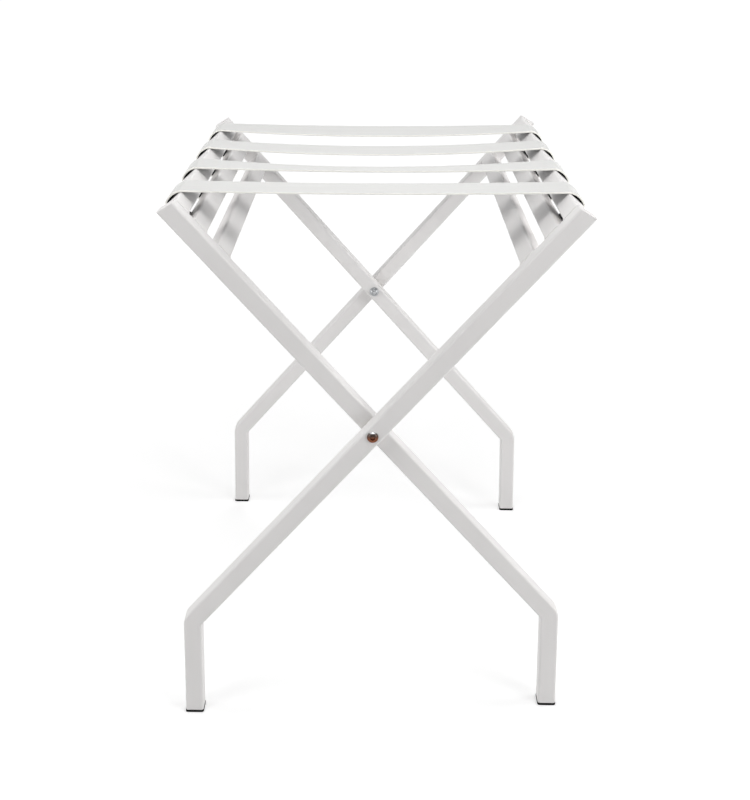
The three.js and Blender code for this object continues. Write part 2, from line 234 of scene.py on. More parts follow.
class Finishes(bpy.types.PropertyGroup):
    """Colours of the finishes"""

    coat: colour("Powder coat", "White of the tube frames", "#EBE9E8")
    strap: colour("Strap", "Face of the straps", "#E5E5E3")
    edge: colour("Strap edge", "Painted edge of the straps", "#FCFBF5")
    backing: colour("Strap backing", "Underside of the straps", "#161617")
    plastic: colour("Feet", "Moulded feet", "#060606")
    steel: colour("Steel", "Plated screws, nuts and washers", "#B4B6B8")
    # Painted reflections on the polished bolt heads, not their own colour: a brown floor at the
    # foot, a dark room at the brow
    bronze: colour("Bolt foot", "Warm foot of the bronzed bolt heads", "#80503A")
    brow: colour("Bolt brow", "Dark brow of the bronzed bolt heads", "#443A36")
    nylon: colour("Spacer", "Spacers between the legs", "#E3DFD2")
    floor: colour("Floor", "Paper floor of the stage", "#E6E6E6")


def add_node(tree, kind, inputs=None, **settings):
    """A new node with its settings and its inputs, each a value or the socket that feeds it."""
    node = tree.nodes.new(kind)
    for key, value in settings.items():
        setattr(node, key, value)
    for key, value in (inputs or {}).items():
        if isinstance(value, bpy.types.NodeSocket):
            tree.links.new(value, node.inputs[key])
        else:
            node.inputs[key].default_value = value
    return node


def new_material(name):
    """A node material with only its output and its shader."""
    material = bpy.data.materials.new(name)
    material.use_nodes = True
    tree = material.node_tree
    tree.nodes.clear()
    shader = add_node(tree, "ShaderNodeBsdfPrincipled")
    add_node(tree, "ShaderNodeOutputMaterial", {"Surface": shader.outputs["BSDF"]})
    return material, tree, shader


def shade(base, factor):
    """A colour made lighter or darker by a factor."""
    return (*[min(1.0, c * factor) for c in base[:3]], 1.0)


def once(make, colours):
    """The material that a function makes, made at its first use."""
    return bpy.data.materials.get(make.__name__) or make(colours)


def powder_coat_satin_white(colours):
    """Polyester powder coat, baked on steel: a wavy satin skin, a little uneven in tone."""
    material, tree, shader = new_material("powder_coat_satin_white")
    place = add_node(tree, "ShaderNodeTexCoord").outputs["Object"]
    # Tone drifts over about 80 mm
    drift = add_node(
        tree, "ShaderNodeTexNoise", {"Vector": place, "Scale": 1 / (80 * MM), "Detail": 3.0}
    )
    tone = add_node(
        tree,
        "ShaderNodeMix",
        {
            "Factor": drift.outputs["Fac"],
            "A": shade(colours.coat, 0.955),
            "B": shade(colours.coat, 1.03),
        },
        data_type="RGBA",
    )
    # Orange peel, drawn at 3 mm so that it shows, and the finer grain of the powder
    peel = add_node(
        tree, "ShaderNodeTexNoise", {"Vector": place, "Scale": 1 / (3 * MM), "Detail": 2.0}
    )
    grain = add_node(
        tree, "ShaderNodeTexNoise", {"Vector": place, "Scale": 1 / (0.8 * MM), "Detail": 1.0}
    )
    gloss = add_node(
        tree,
        "ShaderNodeMapRange",
        {
            "Value": peel.outputs["Fac"],
            "From Min": 0.3,
            "From Max": 0.7,
            "To Min": 0.44,
            "To Max": 0.52,
        },
    )
    fine = add_node(
        tree,
        "ShaderNodeBump",
        {"Height": grain.outputs["Fac"], "Strength": 0.08, "Distance": 0.03 * MM},
    )
    wavy = add_node(
        tree,
        "ShaderNodeBump",
        {
            "Height": peel.outputs["Fac"],
            "Strength": 0.1,
            "Distance": 0.06 * MM,
            "Normal": fine.outputs["Normal"],
        },
    )
    # Ripples of the weld beads under the coat, 2 mm apart
    bead = add_node(tree, "ShaderNodeAttribute", attribute_name="bead")
    ripple = add_node(
        tree, "ShaderNodeTexNoise", {"Vector": place, "Scale": 1 / (2 * MM), "Detail": 1.0}
    )
    height = add_node(
        tree,
        "ShaderNodeMath",
        {0: bead.outputs["Fac"], 1: ripple.outputs["Fac"]},
        operation="MULTIPLY",
    )
    welded = add_node(
        tree,
        "ShaderNodeBump",
        {
            "Height": height.outputs[0],
            "Strength": 0.25,
            "Distance": 0.3 * MM,
            "Normal": wavy.outputs["Normal"],
        },
    )
    tree.links.new(tone.outputs["Result"], shader.inputs["Base Color"])
    tree.links.new(gloss.outputs["Result"], shader.inputs["Roughness"])
    tree.links.new(welded.outputs["Normal"], shader.inputs["Normal"])
    shader.inputs["IOR"].default_value = 1.5
    return material


def coated_strap_calendered_white(colours):
    """Coated strap, calendered: a dull white skin with a pebble grain drawn out along it."""
    material, tree, shader = new_material("coated_strap_calendered_white")
    flat = add_node(tree, "ShaderNodeAttribute", attribute_name="flat").outputs["Vector"]
    # Pebbles of about 1 mm, twice as long as wide
    drawn = add_node(tree, "ShaderNodeMapping", {"Vector": flat, "Scale": (0.5, 1.0, 1.0)})
    pebble = add_node(
        tree,
        "ShaderNodeTexVoronoi",
        {"Vector": drawn.outputs["Vector"], "Scale": 1 / (1 * MM)},
        feature="SMOOTH_F1",
    )
    # Streaks along the strap, about 3 mm wide
    stretched = add_node(tree, "ShaderNodeMapping", {"Vector": flat, "Scale": (0.04, 1.0, 1.0)})
    streak = add_node(
        tree,
        "ShaderNodeTexNoise",
        {"Vector": stretched.outputs["Vector"], "Scale": 1 / (3 * MM), "Detail": 3.0},
    )
    tone = add_node(
        tree,
        "ShaderNodeMix",
        {
            "Factor": streak.outputs["Fac"],
            "A": shade(colours.strap, 0.95),
            "B": shade(colours.strap, 1.03),
        },
        data_type="RGBA",
    )
    gloss = add_node(
        tree,
        "ShaderNodeMapRange",
        {"Value": pebble.outputs["Distance"], "From Max": 0.8, "To Min": 0.5, "To Max": 0.66},
    )
    raised = add_node(
        tree,
        "ShaderNodeBump",
        {"Height": pebble.outputs["Distance"], "Strength": 0.25, "Distance": 0.1 * MM},
        invert=True,
    )
    tree.links.new(tone.outputs["Result"], shader.inputs["Base Color"])
    tree.links.new(gloss.outputs["Result"], shader.inputs["Roughness"])
    tree.links.new(raised.outputs["Normal"], shader.inputs["Normal"])
    shader.inputs["Sheen Weight"].default_value = 0.05
    return material


def edge_paint_white(colours):
    """Edge paint on the cut strap: a smooth bead, brighter than the face and slightly lumpy."""
    material, tree, shader = new_material("edge_paint_white")
    flat = add_node(tree, "ShaderNodeAttribute", attribute_name="flat").outputs["Vector"]
    lumps = add_node(
        tree, "ShaderNodeTexNoise", {"Vector": flat, "Scale": 1 / (4 * MM), "Detail": 2.0}
    )
    tone = add_node(
        tree,
        "ShaderNodeMix",
        {
            "Factor": lumps.outputs["Fac"],
            "A": shade(colours.edge, 0.93),
            "B": shade(colours.edge, 1.03),
        },
        data_type="RGBA",
    )
    raised = add_node(
        tree,
        "ShaderNodeBump",
        {"Height": lumps.outputs["Fac"], "Strength": 0.3, "Distance": 0.2 * MM},
    )
    tree.links.new(tone.outputs["Result"], shader.inputs["Base Color"])
    tree.links.new(raised.outputs["Normal"], shader.inputs["Normal"])
    shader.inputs["Roughness"].default_value = 0.45
    return material


def woven_backing_black(colours):
    """Black woven backing: dull yarns over and under each other, drawn coarse enough to show."""
    material, tree, shader = new_material("woven_backing_black")
    flat = add_node(tree, "ShaderNodeAttribute", attribute_name="flat").outputs["Vector"]
    yarns = []
    for turn in (0.0, math.pi / 2):
        laid = add_node(tree, "ShaderNodeMapping", {"Vector": flat, "Rotation": (0, 0, turn)})
        # Yarns 1.2 mm apart: a wave's length is a twentieth of a whole turn over its scale
        wave = add_node(
            tree,
            "ShaderNodeTexWave",
            {"Vector": laid.outputs["Vector"], "Scale": 2 * math.pi / 20 / (1.2 * MM)},
        )
        yarns.append(wave.outputs["Fac"])
    weave = add_node(tree, "ShaderNodeMath", {0: yarns[0], 1: yarns[1]}, operation="MULTIPLY")
    tone = add_node(
        tree,
        "ShaderNodeMix",
        {
            "Factor": weave.outputs[0],
            "A": shade(colours.backing, 0.5),
            "B": shade(colours.backing, 1.6),
        },
        data_type="RGBA",
    )
    raised = add_node(
        tree, "ShaderNodeBump", {"Height": weave.outputs[0], "Strength": 0.5, "Distance": 0.2 * MM}
    )
    tree.links.new(tone.outputs["Result"], shader.inputs["Base Color"])
    tree.links.new(raised.outputs["Normal"], shader.inputs["Normal"])
    shader.inputs["Roughness"].default_value = 0.9
    shader.inputs["Specular IOR Level"].default_value = 0.2
    return material


def polyethylene_moulded_black(colours):
    """Polyethylene, moulded: deep black with a fine spark-eroded texture."""
    material, tree, shader = new_material("polyethylene_moulded_black")
    place = add_node(tree, "ShaderNodeTexCoord").outputs["Object"]
    # Grit of 0.7 mm, drawn coarser than it is so that it shows
    grit = add_node(
        tree, "ShaderNodeTexNoise", {"Vector": place, "Scale": 1 / (0.7 * MM), "Detail": 2.0}
    )
    tone = add_node(
        tree,
        "ShaderNodeMix",
        {
            "Factor": grit.outputs["Fac"],
            "A": shade(colours.plastic, 0.7),
            "B": shade(colours.plastic, 1.5),
        },
        data_type="RGBA",
    )
    gloss = add_node(
        tree, "ShaderNodeMapRange", {"Value": grit.outputs["Fac"], "To Min": 0.42, "To Max": 0.62}
    )
    raised = add_node(
        tree,
        "ShaderNodeBump",
        {"Height": grit.outputs["Fac"], "Strength": 0.3, "Distance": 0.1 * MM},
    )
    tree.links.new(tone.outputs["Result"], shader.inputs["Base Color"])
    tree.links.new(gloss.outputs["Result"], shader.inputs["Roughness"])
    tree.links.new(raised.outputs["Normal"], shader.inputs["Normal"])
    shader.inputs["Specular IOR Level"].default_value = 0.15
    return material


def plated(name, plating, least, most):
    """Turned and plated steel: small patches of brighter and duller plating, some rougher."""
    material, tree, shader = new_material(name)
    place = add_node(tree, "ShaderNodeTexCoord").outputs["Object"]
    # Patches of about 2 mm
    patch = add_node(
        tree, "ShaderNodeTexNoise", {"Vector": place, "Scale": 1 / (2 * MM), "Detail": 3.0}
    )
    tone = add_node(
        tree,
        "ShaderNodeMix",
        {"Factor": patch.outputs["Fac"], "A": shade(plating, 0.6), "B": shade(plating, 1.25)},
        data_type="RGBA",
    )
    gloss = add_node(
        tree,
        "ShaderNodeMapRange",
        {"Value": patch.outputs["Fac"], "To Min": least, "To Max": most},
    )
    raised = add_node(
        tree,
        "ShaderNodeBump",
        {"Height": patch.outputs["Fac"], "Strength": 0.15, "Distance": 0.05 * MM},
    )
    tree.links.new(tone.outputs["Result"], shader.inputs["Base Color"])
    tree.links.new(gloss.outputs["Result"], shader.inputs["Roughness"])
    tree.links.new(raised.outputs["Normal"], shader.inputs["Normal"])
    shader.inputs["Metallic"].default_value = 1.0
    return material


def steel_zinc_plated(colours):
    """Bright zinc on turned steel: a cool grey mirror that has lost its edge."""
    return plated("steel_zinc_plated", colours.steel, 0.22, 0.42)


def steel_polished_painted_reflections(colours):
    """Polished steel with painted reflections: a painted brown floor reflection at the foot, a
    painted dark room reflection over it, a painted highlight on top.
    """
    material = plated("steel_polished_painted_reflections", colours.bronze, 0.16, 0.3)
    tree = material.node_tree
    place = add_node(tree, "ShaderNodeTexCoord").outputs["Object"]
    height = add_node(tree, "ShaderNodeSeparateXYZ", {"Vector": place}).outputs["Z"]
    shader = tree.nodes["Principled BSDF"]
    tone = shader.inputs["Base Color"].links[0].from_socket
    # The painted dark room reflection comes in from 2.5 mm below the middle of the head and the
    # painted highlight on the rim from 4.2 mm above it, both over the painted brown floor
    # reflection at the foot
    # Painted highlight on the rim: the plating made much lighter
    rim = shade(colours.steel, 1.6)
    for start, end, upper in ((-2.5, 2.5, colours.brow), (4.2, 5.4, rim)):
        share = add_node(
            tree,
            "ShaderNodeMapRange",
            {"Value": height, "From Min": PIVOT.z + start * MM, "From Max": PIVOT.z + end * MM},
        )
        tone = add_node(
            tree,
            "ShaderNodeMix",
            {"Factor": share.outputs["Result"], "A": tone, "B": upper},
            data_type="RGBA",
        ).outputs["Result"]
    tree.links.new(tone, shader.inputs["Base Color"])
    return material


def nylon_turned_natural(colours):
    """Nylon, turned and left natural: milky and faintly clouded, light passes a little way in."""
    material, tree, shader = new_material("nylon_turned_natural")
    place = add_node(tree, "ShaderNodeTexCoord").outputs["Object"]
    # Clouds of about 5 mm
    cloud = add_node(
        tree, "ShaderNodeTexNoise", {"Vector": place, "Scale": 1 / (5 * MM), "Detail": 2.0}
    )
    tone = add_node(
        tree,
        "ShaderNodeMix",
        {
            "Factor": cloud.outputs["Fac"],
            "A": shade(colours.nylon, 0.92),
            "B": shade(colours.nylon, 1.04),
        },
        data_type="RGBA",
    )
    tree.links.new(tone.outputs["Result"], shader.inputs["Base Color"])
    shader.inputs["Roughness"].default_value = 0.4
    shader.inputs["Subsurface Weight"].default_value = 0.2
    shader.inputs["Subsurface Scale"].default_value = 1 * MM
    shader.inputs["IOR"].default_value = 1.53
    return material


def rounded_ring(bm, width, depth, corner, steps):
    """Edges of a rounded rectangle about the origin, in the XY plane."""
    made = bmesh.ops.create_grid(bm, x_segments=1, y_segments=1, size=0.5)["verts"]
    bmesh.ops.scale(bm, vec=(width, depth, 1), verts=made)
    bmesh.ops.bevel(
        bm,
        geom=made,
        offset=corner,
        offset_type="OFFSET",
        segments=steps,
        profile=0.5,
        affect="VERTICES",
        material=-1,
    )
    bmesh.ops.delete(bm, geom=bm.faces[:], context="FACES_ONLY")
    return bm.edges[:]


def extrude_ring(bm, ring):
    """Walls from a ring of edges: the ring that ends them, and its points."""
    made = bmesh.ops.extrude_edge_only(bm, edges=ring)["geom"]
    fresh = {v for v in made if isinstance(v, bmesh.types.BMVert)}
    edges = [e for e in made if isinstance(e, bmesh.types.BMEdge)]
    return [e for e in edges if fresh.issuperset(e.verts)], fresh


def sweep(bm, ring, stations, put):
    """Walls through the stations; put sets each point of the ring to its place at a station."""
    number = bm.verts.layers.int.new("number")
    corners = list({v for e in ring for v in e.verts})
    points = [v.co.copy() for v in corners]
    for i, v in enumerate(corners):
        v[number] = i
        put(v, stations[0], points[i])
    for station in stations[1:]:
        ring, fresh = extrude_ring(bm, ring)
        for v in fresh:
            put(v, station, points[v[number]])
    bm.verts.layers.int.remove(number)


def turned(sides, loops):
    """A piece about Z through loops of radius and height; a radius may change with the angle."""
    bm = bmesh.new()
    bmesh.ops.create_circle(bm, cap_ends=False, radius=1, segments=sides)

    def put(v, loop, point):
        around = math.atan2(point.y, point.x)
        radius = loop[0](around) if callable(loop[0]) else loop[0]
        v.co = (radius * math.cos(around), radius * math.sin(around), loop[1])

    sweep(bm, bm.edges[:], loops, put)
    return bm


def hexagon(flats):
    """Outline of a hexagon by its width over flats."""
    sixth = math.pi / 3
    return lambda around: flats / 2 / math.cos((around + sixth / 2) % sixth - sixth / 2)


def cross(reach):
    """Outline of a cross recess by the reach of its arms."""
    half_arm, waist = math.radians(20), reach * 0.36

    def outline(around):
        off = abs((around + math.pi / 4) % (math.pi / 2) - math.pi / 4)
        return reach if off < half_arm else waist

    return outline


def close_ends(bm):
    """Faces over the open ends."""
    open_edges = [e for e in bm.edges if e.is_boundary]
    return bmesh.ops.holes_fill(bm, edges=open_edges, sides=0)["faces"]


def soften(bm, edges, offset):
    """Rounds edges."""
    bmesh.ops.bevel(
        bm,
        geom=edges,
        offset=offset,
        offset_type="OFFSET",
        segments=3,
        profile=0.5,
        affect="EDGES",
        material=-1,
    )


def finish_piece(bm, node, ending, materials, body=None):
    """The mesh as a piece that stands for its node, smooth but for its sharp edges."""
    bmesh.ops.remove_doubles(bm, verts=bm.verts[:], dist=SAME_POINT)
    bmesh.ops.recalc_face_normals(bm, faces=bm.faces[:])
    mesh = bpy.data.meshes.new(f"{node}_{ending}")
    bm.to_mesh(mesh)
    bm.free()
    mesh.shade_smooth()
    mesh.set_sharp_from_angle(angle=CREASE)
    for material in materials:
        mesh.materials.append(material)
    piece = bpy.data.objects.new(mesh.name, mesh)
    bpy.context.scene.collection.objects.link(piece)
    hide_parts(node)
    if body:
        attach(piece, body)
        flats = piece.modifiers.new("Flat faces stay flat", "WEIGHTED_NORMAL")
        flats.keep_sharp = True
    return piece


def bend_of(sizes):
    """Where the centre lines of the outer frame's sloping tube and foot meet."""
    return RAIL + UPHILL * ((sizes.bend_height - RAIL.z) / UPHILL.z)


def leg_shape(sizes):
    """One leg of the outer frame, its centre line in the XZ plane."""
    bm = bmesh.new()
    half = sizes.tube / 2
    bend = bend_of(sizes)
    upright = Vector((math.sin(sizes.splay), 0, math.cos(sizes.splay)))
    turn = math.pi / 2 - sizes.splay - SLOPE
    radius = half + sizes.bend_radius
    start = bend - upright * (radius * math.tan(turn / 2))
    aside = Vector((upright.z, 0, -upright.x))
    foot_ring = rounded_ring(bm, sizes.tube, sizes.tube, sizes.corner, CORNER_STEPS)
    lean = Matrix.Rotation(sizes.splay, 3, "Y")
    bmesh.ops.rotate(bm, cent=(0, 0, 0), matrix=lean, verts=bm.verts[:])
    bmesh.ops.translate(bm, vec=start, verts=bm.verts[:])
    bent = bmesh.ops.spin(
        bm,
        geom=bm.verts[:] + foot_ring,
        cent=start + aside * radius,
        axis=(0, 1, 0),
        angle=turn,
        steps=BEND_STEPS,
        use_merge=False,
        use_duplicate=False,
    )["geom_last"]
    slope_ring = [e for e in bent if isinstance(e, bmesh.types.BMEdge)]
    # Both tubes are made too long and cut to length
    too_long = (RAIL - bend).length * 1.2
    for ring, way in ((slope_ring, UPHILL), (foot_ring, -upright)):
        fresh = extrude_ring(bm, ring)[1]
        bmesh.ops.translate(bm, vec=way * too_long, verts=list(fresh))
    long_corner = RAIL + UPHILL * sizes.reach - OUTWARD * half
    slant = UPHILL * math.cos(sizes.end_cut) + OUTWARD * math.sin(sizes.end_cut)
    foot_top = Vector((0, 0, sizes.glide))
    for spot, way in ((long_corner, slant), (foot_top, Vector((0, 0, -1)))):
        bmesh.ops.bisect_plane(
            bm,
            geom=bm.verts[:] + bm.edges[:] + bm.faces[:],
            dist=1e-6,
            plane_co=spot,
            plane_no=way,
            clear_outer=True,
        )
    top = max(close_ends(bm), key=lambda face: face.calc_center_median().z)
    soften(bm, top.edges[:], sizes.end_round)
    return bm


class RACK_OT_legs(bpy.types.Operator):
    """Builds the four bent legs"""

    bl_idname = "rack.legs"
    bl_label = "Legs"

    def execute(self, context):
        coat = once(powder_coat_satin_white, context.scene.rack_finishes)
        for name, turn in FRAMES:
            for end in ENDS:
                node = f"{name}_{end}_leg"
                bm = leg_shape(context.scene.rack_frame)
                place = Matrix.Translation((0, middle(node).y, 0)) @ Matrix.Rotation(turn, 4, "Z")
                bmesh.ops.transform(bm, matrix=place, verts=bm.verts[:])
                finish_piece(bm, node, "coated", [coat], f"{name}_frame")
        return {"FINISHED"}


def bar_shape(sizes, half_length):
    """A bar along Y with a weld bead round each end, where it meets the leg's rounded corner."""
    bm = bmesh.new()
    bead = bm.verts.layers.float.new("bead")
    wide = sizes.corner * 1.6
    # Place along the bar and share of the bead's height
    ends = [
        (half_length + sizes.corner * 0.5, 0.3),
        (half_length, 0.9),
        (half_length - wide * 0.3, 1.0),
        (half_length - wide * 0.7, 0.6),
        (half_length - wide, 0.0),
    ]
    stations = [(-y, rise) for y, rise in ends] + [(y, rise) for y, rise in reversed(ends)]

    def put(v, station, point):
        y, rise = station
        grown = 1 + 2 * rise * sizes.bead / sizes.tube
        v.co = (point.x * grown, y, point.y * grown)
        v[bead] = min(1.0, 2 * rise)

    sweep(bm, rounded_ring(bm, sizes.tube, sizes.tube, sizes.corner, CORNER_STEPS), stations, put)
    close_ends(bm)
    return bm


class RACK_OT_bars(bpy.types.Operator):
    """Builds the two top rails and the four crossbars"""

    bl_idname = "rack.bars"
    bl_label = "Rails and crossbars"

    def execute(self, context):
        coat = once(powder_coat_satin_white, context.scene.rack_finishes)
        for name, turn in FRAMES:
            half_length = -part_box(f"{name}_front_leg")[1].y
            for bar in BARS:
                node = f"{name}_{bar}"
                bm = bar_shape(context.scene.rack_frame, half_length)
                lie = Matrix.Rotation(turn, 4, "Z") @ Matrix.Rotation(-SLOPE, 4, "Y")
                place = Matrix.Translation(middle(node)) @ lie
                bmesh.ops.transform(bm, matrix=place, verts=bm.verts[:])
                finish_piece(bm, node, "coated", [coat], f"{name}_frame")
        return {"FINISHED"}


def foot_shape(sizes):
    """A glide with a rounded sole and the plug that holds it in the tube, at the origin."""
    bm = bmesh.new()
    half = sizes.tube / 2
    # Play round the plug, broken edge of the glide, lead-in of the plug
    play, broken, lead = 0.3 * MM, 0.2 * MM, 0.5 * MM
    inside = half - sizes.wall - play
    proud = half + sizes.lip
    edge, edge_steps = sizes.glide_edge, 4
    stations = []  # half width and height
    for step in range(edge_steps + 1):
        lean = math.pi / 2 * step / edge_steps
        stations.append((proud - edge * (1 - math.sin(lean)), edge * (1 - math.cos(lean))))
    stations += [
        (proud, sizes.glide - broken),
        (proud - broken, sizes.glide),
        (inside, sizes.glide),
        (inside, sizes.glide + sizes.plug * 0.8),
        (inside - lead, sizes.glide + sizes.plug),
    ]

    def put(v, station, point):
        reach, z = station
        v.co = (point.x * reach / half + z * math.tan(sizes.splay), point.y * reach / half, z)

    sweep(bm, rounded_ring(bm, sizes.tube, sizes.tube, sizes.corner, CORNER_STEPS), stations, put)
    close_ends(bm)
    return bm


class RACK_OT_feet(bpy.types.Operator):
    """Builds the four black feet"""

    bl_idname = "rack.feet"
    bl_label = "Feet"

    def execute(self, context):
        sizes = context.scene.rack_frame
        plastic = once(polyethylene_moulded_black, context.scene.rack_finishes)
        floor_x = bend_of(sizes).x - sizes.bend_height * math.tan(sizes.splay)
        for name, turn in FRAMES:
            for end in ENDS:
                node = f"{name}_{end}_foot"
                bm = foot_shape(sizes)
                stand = Matrix.Rotation(turn, 4, "Z") @ Matrix.Translation((floor_x, 0, 0))
                place = Matrix.Translation((0, middle(node).y, 0)) @ stand
                bmesh.ops.transform(bm, matrix=place, verts=bm.verts[:])
                finish_piece(bm, node, "moulded", [plastic], f"{name}_frame")
        return {"FINISHED"}


def strap_half(tube, straps, sag, slack):
    """Points on the middle of half a strap, from mid-span over the rail to its tail.

    It sags in the span, bulges between the rail's ridge and outer corner, and stands off that
    corner by the slack. The number of the point where it meets the ridge is given too.
    """
    inset = tube.tube / 2 - tube.corner
    clear = straps.seat + straps.thickness / 2
    rail = Vector((RAIL.x, 0, RAIL.z))
    ridge = rail + (UPHILL + OUTWARD) * inset
    edge = rail + (UPHILL - OUTWARD) * inset + UPHILL * slack
    wrap = tube.corner + clear
    fall = math.atan2(2 * sag, ridge.x)
    leave = math.pi / 2 + fall
    out = SLOPE + math.atan2(slack, 2 * inset)
    spread = leave - straps.hug - out

    def around(centre, radius, turn):
        return centre + Vector((math.cos(turn), 0, math.sin(turn))) * radius

    bulge = wrap + (ridge - edge).length / 2 / math.sin(spread)
    bulge_middle = around((ridge + edge) / 2, (wrap - bulge) * math.cos(spread), out)
    start = around(ridge, wrap, leave)
    steep = math.tan(fall) / start.x
    spans, ridge_steps, bend_steps, tails = 80, 12, 24, 12
    points = []
    for step in range(spans):
        x = start.x * step / spans
        points.append(Vector((x, 0, start.z - steep * (start.x**2 - x**2) / 2)))
    for centre, radius, first, last, steps in (
        (ridge, wrap, leave, out + spread, ridge_steps),
        (bulge_middle, bulge, out + spread, out - spread, bend_steps),
        (edge, wrap, out - spread, SLOPE - math.pi / 2, bend_steps),
    ):
        turns = [first + (last - first) * step / steps for step in range(steps)]
        points += [around(centre, radius, turn) for turn in turns]
    points.append(around(edge, wrap, SLOPE - math.pi / 2))
    bar = Vector((UPPER_BAR.x, 0, UPPER_BAR.z))
    end = bar - UPHILL * straps.tail - OUTWARD * (tube.tube / 2 + clear)
    under = points[-1]
    points += [under.lerp(end, step / tails) for step in range(1, tails + 1)]
    return points, spans


def strap_line(tube, straps, sag, slacks):
    """A strap's middle line from left tail to right tail.

    Each station has its place, its way out, its run from mid-span and its share of the fold, which
    is only worked out and stored here: past the rails the share keeps the strap to its frame,
    between them it follows the strap's angle about the pivot, for a strap that hangs between the
    folded frames.
    """
    halves = []
    for slack in slacks:
        points, ridge = strap_half(tube, straps, sag, slack)
        runs = [0.0]
        for before, here in zip(points, points[1:]):
            runs.append(runs[-1] + (here - before).length)
        last_angle = math.atan2(points[ridge].x, points[ridge].z - PIVOT.z)
        shares = []
        for point, run in zip(points, runs):
            lean = math.atan2(point.x, point.z - PIVOT.z)
            apart = (last_angle - FOLD / 2) * math.sin(math.pi / 2 * min(1.0, run / runs[ridge]))
            shares.append(max(0.0, 0.5 - (lean - apart) / FOLD) if run < runs[ridge] else 0.0)
        halves.append(list(zip(points, runs, shares)))
    left, right = halves
    line = [(Vector((-p.x, 0, p.z)), -run, 1 - share) for p, run, share in reversed(left[1:])]
    line += right
    stations = []
    for i, (point, run, share) in enumerate(line):
        way = (line[min(i + 1, len(line) - 1)][0] - line[max(i - 1, 0)][0]).normalized()
        stations.append((point, Vector((-way.z, 0, way.x)), run, share))
    return stations


def strap_shape(tube, straps, number):
    """A strap with painted edges and a dark underside, and its length.

    Each point keeps its place on the flat strap and its share of the fold.
    """
    bm = bmesh.new()
    flat = bm.verts.layers.float_vector.new("flat")
    folds = bm.verts.layers.float.new("folds")
    slacks = straps.left_slack[number], straps.right_slack[number]
    near = strap_line(tube, straps, straps.near_sag[number], slacks)
    far = strap_line(tube, straps, straps.far_sag[number], slacks)
    ring = rounded_ring(bm, straps.width, straps.thickness, straps.edge, steps=3)
    long_edges = [e for e in ring if e.calc_length() > straps.width / 2]
    bmesh.ops.subdivide_edges(bm, edges=long_edges, cuts=7)

    def put(v, station, point):
        here, there = near[station], far[station]
        share = point.x / straps.width + 0.5
        way = here[1].lerp(there[1], share).normalized()
        spot = here[0].lerp(there[0], share)
        aside = max(-1.0, min(1.0, spot.x / RAIL.x)) * straps.askew[number] / 2
        v.co = spot + way * point.y + Vector((0, point.x - aside - straps.askew[number] / 2, 0))
        v[flat] = (here[2], point.x, point.y)
        v[folds] = here[3]

    sweep(bm, bm.edges[:], range(len(near)), put)
    close_ends(bm)
    for face in bm.faces:
        if max(abs(v[flat].y) for v in face.verts) > straps.width / 2 - straps.edge / 2:
            face.material_index = 1  # edge paint
        elif max(v[flat].z for v in face.verts) < 0:
            face.material_index = 2  # backing
    return bm, near[-1][2] - near[0][2]


class RACK_OT_straps(bpy.types.Operator):
    """Builds the four straps over the rails"""

    bl_idname = "rack.straps"
    bl_label = "Straps"

    def execute(self, context):
        scene = context.scene
        finishes = [coated_strap_calendered_white, edge_paint_white, woven_backing_black]
        materials = [once(make, scene.rack_finishes) for make in finishes]
        for number in range(len(scene.rack_straps.near_sag)):
            node = f"strap_{number + 1}"
            bm, run = strap_shape(scene.rack_frame, scene.rack_straps, number)
            bmesh.ops.translate(bm, vec=(0, middle(node).y, 0), verts=bm.verts[:])
            strap = finish_piece(bm, node, "coated", materials)
            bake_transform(strap)
        return {"FINISHED"}


def screw_shape(sizes, reach):
    """A pan head screw with a cross recess, pointing up from the underside of its head."""
    head, high, shank = sizes.screw_head, sizes.screw_height, sizes.screw_shank
    dome, dome_steps = math.radians(56), 6
    loops = [
        (cross(sizes.recess * 0.5), -high * 0.35),
        (cross(sizes.recess), -high),
        (head * 0.55, -high * 0.99),
    ]
    for step in range(dome_steps + 1):
        lean = dome * (1 - step / dome_steps)
        rise = 0.15 + 0.8 * math.sin(lean) / math.sin(dome)
        loops.append((head * math.cos(lean), -high * rise))
    loops += [(head, 0), (shank, 0), (shank, reach * 0.8), (shank * 0.2, reach)]
    bm = turned(sides=24, loops=loops)
    close_ends(bm)
    return bm


class RACK_OT_screws(bpy.types.Operator):
    """Builds the eight screws that hold the straps under the upper crossbars"""

    bl_idname = "rack.screws"
    bl_label = "Strap screws"

    def execute(self, context):
        scene = context.scene
        zinc = once(steel_zinc_plated, scene.rack_finishes)
        tube, straps = scene.rack_frame.tube, scene.rack_straps
        under = UPPER_BAR - OUTWARD * (tube / 2 + straps.thickness + 2 * straps.seat)
        for number in range(len(straps.near_sag)):
            for name, turn in FRAMES:
                node = f"strap_{number + 1}_{name}_screw"
                bm = screw_shape(scene.rack_hardware, tube / 2)
                stand = Matrix.Translation(under) @ Matrix.Rotation(-SLOPE, 4, "Y")
                along = Matrix.Translation((0, middle(node).y, 0))
                place = along @ Matrix.Rotation(turn, 4, "Z") @ stand
                bmesh.ops.transform(bm, matrix=place, verts=bm.verts[:])
                finish_piece(bm, node, "plated", [zinc], f"{name}_frame")
        return {"FINISHED"}


